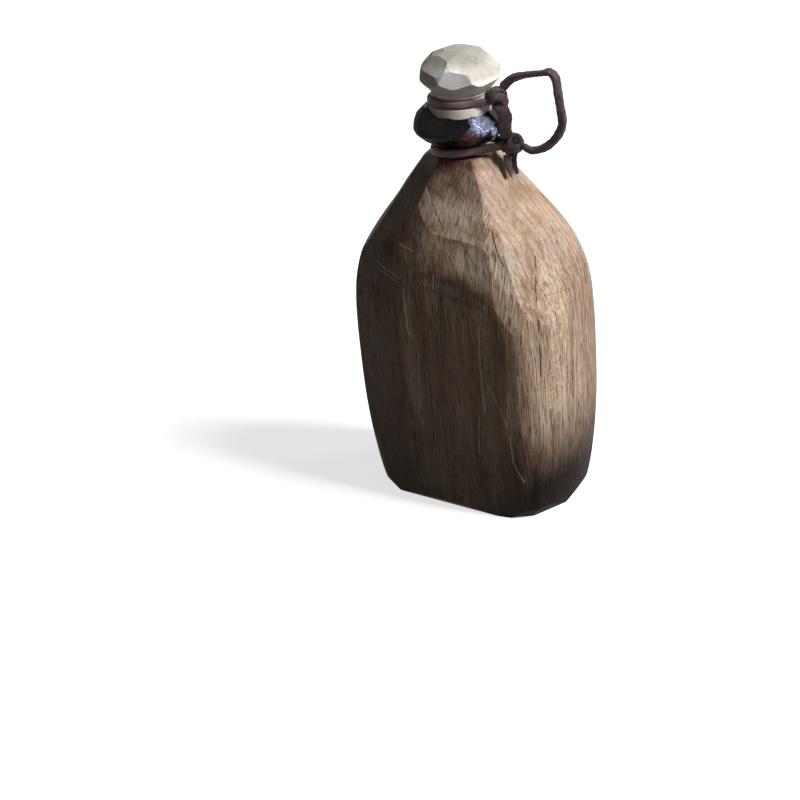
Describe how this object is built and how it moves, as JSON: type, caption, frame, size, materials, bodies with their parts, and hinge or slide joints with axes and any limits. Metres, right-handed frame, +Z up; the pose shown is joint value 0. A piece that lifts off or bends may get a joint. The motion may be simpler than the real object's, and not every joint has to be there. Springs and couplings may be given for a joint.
{
  "type": "carved wooden water flask",
  "caption": "Hand-carved faceted wooden flask with a dark lacquered mouth collar and a pale carved stopper, tied to it with a leather thong that forms a carrying loop.",
  "frame": {"origin": "middle of the flask's footprint, on the plane of its flat base", "axes": "+Z up through the mouth, +X towards the carrying loop along the width, -Y out of the broad front, with the two body halves joined in the plane Y = 0"},
  "size_m": [0.1026, 0.0682, 0.2032],
  "materials": {
    "body_wood": "satin",
    "pale_wood": "satin",
    "lacquered_wood": "gloss",
    "lining_coat": "satin",
    "seal_leather": "matte",
    "thong_leather": "matte"
  },
  "bodies": {
    "flask": {"body_front_half": "body_wood", "body_back_half": "body_wood", "inner_lining": "lining_coat", "neck_collar": "lacquered_wood", "neck_cord_ring": "thong_leather", "neck_knot": "thong_leather", "tether_strand": "thong_leather", "carry_loop": "thong_leather", "cord_tail_long": "thong_leather", "cord_tail_short": "thong_leather"},
    "stopper_cord": {"stopper_cord_ring": "thong_leather", "stopper_knot": "thong_leather"},
    "stopper": {"stopper": "pale_wood", "stopper_seal": "seal_leather"}
  },
  "joints": [
    {"name": "stopper_lift", "type": "slide", "parent": "flask", "child": "stopper_cord", "axis": [0, 0, 1], "range_m": [0, 0.026], "deforming": ["tether_strand", "carry_loop"]},
    {"name": "stopper_twist", "type": "hinge", "parent": "stopper_cord", "child": "stopper", "pos_m": [0, 0, 0.1753], "axis": [0, 0, 1], "continuous": true}
  ]
}
